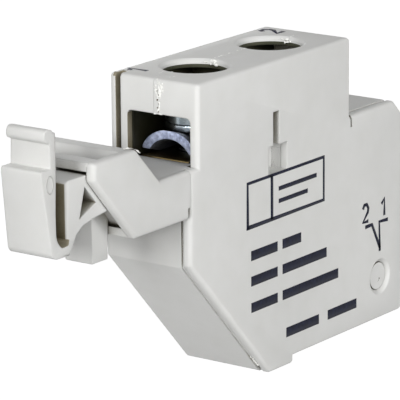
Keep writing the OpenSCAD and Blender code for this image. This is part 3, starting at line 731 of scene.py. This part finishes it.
# Terminal screws: cheese-headed steel screws with a straight slot, cold-headed, rolled with a
# 0.6 mm thread and zinc-plated. Each one holds its washer and saddle.
THREAD_PITCH = 0.6
CORE_RADIUS = 1.42
THREAD_RADIUS = 1.58
THREAD_WIRE = 0.11
METAL_SHADE = (34, 38, 44)


def metal(name, light, dark, gloss, scratch, turn=(1, 1, 10), shine=1.0, spangle=900, open_from=0.25):
    finish = Finish(name)
    cloud = finish.noise(spangle, 4)
    drawn = finish.node("ShaderNodeMapping", {}, {"Vector": finish.place, "Scale": turn})
    scratches = finish.noise(scratch, 3, drawn)
    rounded_edge = finish.node("ShaderNodeBevel", {"samples": 4}, {"Radius": 0.08 * MM})
    return finish.wear(
        # Painted shade darkens the metal's colour wherever it is closed in; open_from sets how open a place must be to
        # stay unshaded.
        Base_Color=painted_crevice_shade(finish, finish.ramp(cloud, (0.32, paint(*dark)), (0.68, paint(*light))), METAL_SHADE, high=open_from),
        Metallic=shine,
        Roughness=gloss + 0.16 * scratches + 0.1 * cloud,
        Normal=finish.bump(scratches + 0.6 * cloud, 0.00002, 0.35, Normal=rounded_edge),
    )


def lathed(name, centre, profile, sides=40):
    """A closed turned solid: profile holds (radius, height) from its bottom to its top."""
    form = bmesh.new()
    rings = []
    for radius, height in profile:
        rings.append([form.verts.new(spot(
            centre[0] + radius * math.cos(2 * math.pi * i / sides),
            centre[1] + radius * math.sin(2 * math.pi * i / sides), height
        )) for i in range(sides)])
    for low, high in zip(rings, rings[1:]):
        for i in range(sides):
            j = (i + 1) % sides
            form.faces.new((low[i], low[j], high[j], high[i]))
    form.faces.new(rings[0][::-1])
    form.faces.new(rings[-1])
    mesh = bpy.data.meshes.new(name)
    form.to_mesh(mesh)
    form.free()
    piece = bpy.data.objects.new(name, mesh)
    bpy.context.scene.collection.objects.link(piece)
    return piece


def joined(piece, *others):
    """Adds the faces of other pieces to one piece, and removes them."""
    form = bmesh.new()
    form.from_mesh(piece.data)
    for other in others:
        form.from_mesh(other.data)
        bpy.data.objects.remove(other)
    form.to_mesh(piece.data)
    form.free()
    return piece


coil = Rule("round_coil", Turns="Float", Radius="Float", Height="Float", Wire="Float", Place="Vector",
            Sides="Int", Material="Material")
path = coil.add("GeometryNodeCurveSpiral", {}, {
    "Resolution": 28, "Rotations": coil.given["Turns"], "Start Radius": coil.given["Radius"],
    "End Radius": coil.given["Radius"], "Height": coil.given["Height"]
})
wire_ring = coil.add("GeometryNodeCurvePrimitiveCircle", {}, {
    "Resolution": coil.given["Sides"], "Radius": coil.given["Wire"]
})
tube = coil.add("GeometryNodeCurveToMesh", {}, {"Curve": path, "Profile Curve": wire_ring, "Fill Caps": True})
coil.close(coil.add("GeometryNodeTransform", {}, {"Geometry": tube, "Translation": coil.given["Place"]}))

zinc = metal("bright_zinc", (222, 232, 238), (188, 204, 214), 0.16, 2500)
for side in ("front", "rear"):
    node = "terminal_screw_" + side
    low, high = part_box(node)
    centre = ((low.x + high.x) / 2, (low.y + high.y) / 2)
    head = merged(node, side + "_terminal_screw")
    head_z = high.z - 1.85 * MM
    form = bmesh.new()
    form.from_mesh(head.data)
    cut = bmesh.ops.bisect_plane(
        form, geom=form.verts[:] + form.edges[:] + form.faces[:], dist=1e-7,
        plane_co=(0, 0, head_z - 0.02 * MM), plane_no=(0, 0, 1), clear_inner=True
    )
    bmesh.ops.holes_fill(form, edges=[edge for edge in form.edges if len(edge.link_faces) == 1], sides=0)
    form.to_mesh(head.data)
    form.free()
    middle = (centre[0] / MM + 18.4, centre[1] / MM + 5)
    foot_z, neck_z = low.z / MM, head_z / MM
    core = lathed("core", middle, [(0.9, foot_z), (CORE_RADIUS, foot_z + 0.5), (CORE_RADIUS, neck_z - 0.4), (1.66, neck_z)])
    thread = coil.shape(
        path_mesh("thread", [Vector((0, 0, 0)), Vector((0, 0, 1))]),
        Turns=(neck_z - foot_z - 1.3) / THREAD_PITCH, Radius=THREAD_RADIUS * MM, Height=(neck_z - foot_z - 1.3) * MM,
        Wire=THREAD_WIRE * MM, Place=(centre[0], centre[1], low.z + 0.6 * MM), Sides=5, Material=zinc
    )
    joined(head, core, thread)
    smooth_by_angle(head.data, 35)
    belongs(head, "screw_" + side, "zinc_screw", zinc, node)


# Lock washers: split spring washers under the screw heads, bent from hardened steel wire of
# rectangular section and zinc-plated.
SPLIT_TURN = math.radians(150)

washer_zinc = metal("washer_zinc", (222, 232, 240), (186, 200, 212), 0.1, 2600)
for side in ("front", "rear"):
    washer = merged("lock_washer_" + side, side + "_lock_washer")
    low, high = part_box("lock_washer_" + side)
    middle = Vector(((low.x + high.x) / 2, (low.y + high.y) / 2, 0))
    washer.data.transform(Matrix.Translation(middle) @ Matrix.Rotation(SPLIT_TURN, 4, "Z") @ Matrix.Translation(-middle))
    broken_edges(washer, 0.14, 40, 3)
    smooth_by_angle(washer.data, 35)
    belongs(washer, "screw_" + side, "spring_steel", washer_zinc, "lock_washer_" + side)


# Clamp saddles: arched plates that press the wire on the strip, bent from steel and plated with
# bluish zinc, which shows the spangle of its crystals. The end at the wire port is flared up, so
# that the wire finds its way under.
LIP_START, LIP_LONG, LIP_RISE, LIP_SPREAD = 0.6, 0.8, 0.42, 1.05

saddle_zinc = metal("saddle_zinc", (218, 228, 255), (140, 150, 182), 0.3, 1500, (6, 1, 1), shine=0.35, spangle=2600)
for side, port_way in (("front", -1), ("rear", 1)):
    saddle = merged("wire_clamp_" + side, side + "_clamp_saddle")
    low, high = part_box("wire_clamp_" + side)
    end = low.x if port_way < 0 else high.x
    form = bmesh.new()
    form.from_mesh(saddle.data)
    bmesh.ops.bisect_plane(
        form, geom=form.verts[:] + form.edges[:] + form.faces[:], dist=1e-7,
        plane_co=(end - port_way * LIP_START * MM, 0, 0), plane_no=(1, 0, 0)
    )
    for point in form.verts:
        if abs(point.co.x - end) < 0.01 * MM:
            point.co.x += port_way * LIP_LONG * MM
            point.co.y = point.co.y * LIP_SPREAD
            point.co.z += LIP_RISE * MM
    form.to_mesh(saddle.data)
    form.free()
    broken_edges(saddle, 0.1, 45)
    smooth_by_angle(saddle.data, 35)
    belongs(saddle, "clamp_" + side, "zinc_clamp", saddle_zinc, "wire_clamp_" + side)


# Square nuts: pressed from steel bar and zinc-plated, held against turning in the base shell's
# pockets under the terminal strips.
for side in ("front", "rear"):
    nut = merged("square_nut_" + side, side + "_square_nut")
    broken_edges(nut, 0.12, 60)
    smooth_by_angle(nut.data, 35)
    belongs(nut, "housing", "zinc_screw", zinc, "square_nut_" + side)


# Contact strips and bridge: blanked and bent from brass strip. The two strips lie in the shells'
# channels, and the bridge floats in the plunger's window.
# The brass gets strong painted shade, so it turns dark inside the chambers.
brass = metal("strip_brass", (214, 194, 146), (180, 158, 110), 0.22, 1500, (1, 9, 1), open_from=0.6)
for node, body, name in (
    ("contact_strip_front", "housing", "front_strip"), ("contact_strip_rear", "housing", "rear_strip"),
    ("contact_bridge", "bridge", "moving_bridge"),
):
    strip = merged(node, name)
    broken_edges(strip, 0.1, 60)
    smooth_by_angle(strip.data, 35)
    belongs(strip, body, "brass", brass, node)


# Contact tips: small silver discs riveted on the ends of the strips and of the bridge.
silver = metal("tip_silver", (236, 234, 228), (206, 204, 198), 0.2, 2500)
for node, body, name in (
    ("fixed_tip_front", "housing", "front_fixed_tip"), ("fixed_tip_rear", "housing", "rear_fixed_tip"),
    ("bridge_tip_front", "bridge", "front_moving_tip"), ("bridge_tip_rear", "bridge", "rear_moving_tip"),
):
    tip = merged(node, name)
    broken_edges(tip, 0.06, 60)
    smooth_by_angle(tip.data, 35)
    belongs(tip, body, "tip_silver", silver, node)


# Plunger: the stem that the switch pushes up through the seating face, moulded in natural
# self-lubricating plastic with the bridge's window between its two cheeks.
def natural_plastic():
    finish = Finish("plunger_moulding")
    mottle = finish.noise(500, 3)
    grain = finish.noise(6000, 2)
    return finish.wear(
        Base_Color=finish.ramp(mottle, (0.3, paint(228, 221, 200)), (0.7, paint(238, 233, 216))),
        Roughness=0.38 + 0.14 * mottle,
        Normal=finish.bump(grain + mottle, 0.00001, 0.35),
    )


stem = merged("plunger", "plunger_stem")
broken_edges(stem, 0.12, 60)
smooth_by_angle(stem.data, 35)
belongs(stem, "plunger", "plunger_plastic", natural_plastic(), "plunger")


# Springs: cold-wound from round steel wire. The weaker one presses the bridge down in the plunger's
# window, and the stronger one returns the plunger.
CONTACT_SPRING = {"Turns": 5, "Radius": 1.05, "Wire": 0.15}
RETURN_SPRING = {"Turns": 4, "Radius": 1.35, "Wire": 0.18}

spring_wire = metal("spring_wire", (196, 196, 198), (150, 150, 154), 0.2, 3000)
for node, body, sizes, joint, fixed_end, keep in (
    ("contact_spring", "plunger", CONTACT_SPRING, "bridge_float", 1, 0.81),
    ("return_spring", "housing", RETURN_SPRING, "plunger_slide", 1, 0.55),
):
    low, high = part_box(node)
    wire = sizes["Wire"] * MM
    wound = coil.shape(
        path_mesh(node + "_coil", [Vector((0, 0, 0)), Vector((0, 0, 1))]),
        Turns=float(sizes["Turns"]), Radius=sizes["Radius"] * MM, Wire=wire, Height=high.z - low.z - 2.1 * wire,
        Place=((low.x + high.x) / 2, (low.y + high.y) / 2, low.z + 1.05 * wire), Sides=10, Material=spring_wire
    )
    smooth_by_angle(wound.data, 60)
    belongs(wound, body, "spring_steel", spring_wire, node)
    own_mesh(wound)


# Studio: a plain pale floor well below the held block, a dim sky, and four large soft lamps: one
# before the latch, one above the printed side, one near the camera, and one behind the block.
FLOOR_DROP = 0.06
FLOOR_HALF = 3.0
FLOOR_GREY = 0.45
FLOOR_WHITE = 0.8
AMBIENT = 0.16
BACKDROP_RAYS = ("Is Camera Ray", "Is Glossy Ray", "Is Transmission Ray")
LAMP_AWAY = 2.0
LAMPS = (
    ("latch_side_lamp", Vector((-1.0, -0.12, 0.3)), 0.7, 20.8),
    ("printed_side_lamp", Vector((-0.15, -1.0, 0.36)), 0.7, 16.3),
    ("camera_lamp", Vector((-0.724, -0.595, 0.28)), 0.7, 11.6),
    ("rear_lamp", Vector((0.7, 0.72, 0.0)), 0.7, 6.0),
)


class Sky(Finish):
    """The studio's sky, written as a material is."""

    def __init__(self, name):
        self.material = bpy.data.worlds.new(name)
        self.material.use_nodes = True
        self.tree = self.material.node_tree
        self.surface = self.tree.nodes["Background"]


def backdrop_seen(shader):
    """One where the eye, a reflection or a view through glass meets the backdrop, and zero for light."""
    return sum(shader.node("ShaderNodeLightPath", {}, {}, ray) for ray in BACKDROP_RAYS)


floor_mesh = bpy.data.meshes.new("floor")
floor_level = cad_low.z - FLOOR_DROP
floor_mesh.from_pydata([
    (-FLOOR_HALF, -FLOOR_HALF, floor_level), (FLOOR_HALF, -FLOOR_HALF, floor_level),
    (FLOOR_HALF, FLOOR_HALF, floor_level), (-FLOOR_HALF, FLOOR_HALF, floor_level)
], [], [(0, 1, 2, 3)])
floor = bpy.data.objects.new("floor", floor_mesh)
bpy.context.scene.collection.objects.link(floor)
floor_paint = Finish("floor_paint")
floor_paint.wear(Base_Color=(FLOOR_GREY, FLOOR_GREY, FLOOR_GREY, 1), Roughness=0.8)
glow = floor_paint.node("ShaderNodeEmission", {}, {
    "Color": (1, 1, 1, 1), "Strength": FLOOR_WHITE * backdrop_seen(floor_paint)
})
shown = floor_paint.node("ShaderNodeAddShader", {}, {
    0: Value(floor_paint, floor_paint.surface.outputs[0]), 1: glow
})
floor_paint.tree.links.new(shown.socket, floor_paint.tree.nodes["Material Output"].inputs["Surface"])
floor_mesh.materials.append(floor_paint.material)
floor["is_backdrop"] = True

sky = Sky("studio")
bpy.context.scene.world = sky.wear(
    Color=(1, 1, 1, 1), Strength=AMBIENT + (1 - AMBIENT) * backdrop_seen(sky)
)

for name, way, width, power in LAMPS:
    lamp = bpy.data.lights.new(name, "AREA")
    lamp.shape = "SQUARE"
    lamp.size = width
    lamp.energy = power
    holder = bpy.data.objects.new(name, lamp)
    bpy.context.scene.collection.objects.link(holder)
    holder.location = way.normalized() * LAMP_AWAY + (cad_low + cad_high) / 2
    holder.rotation_euler = way.to_track_quat("Z", "Y").to_euler()

low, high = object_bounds()
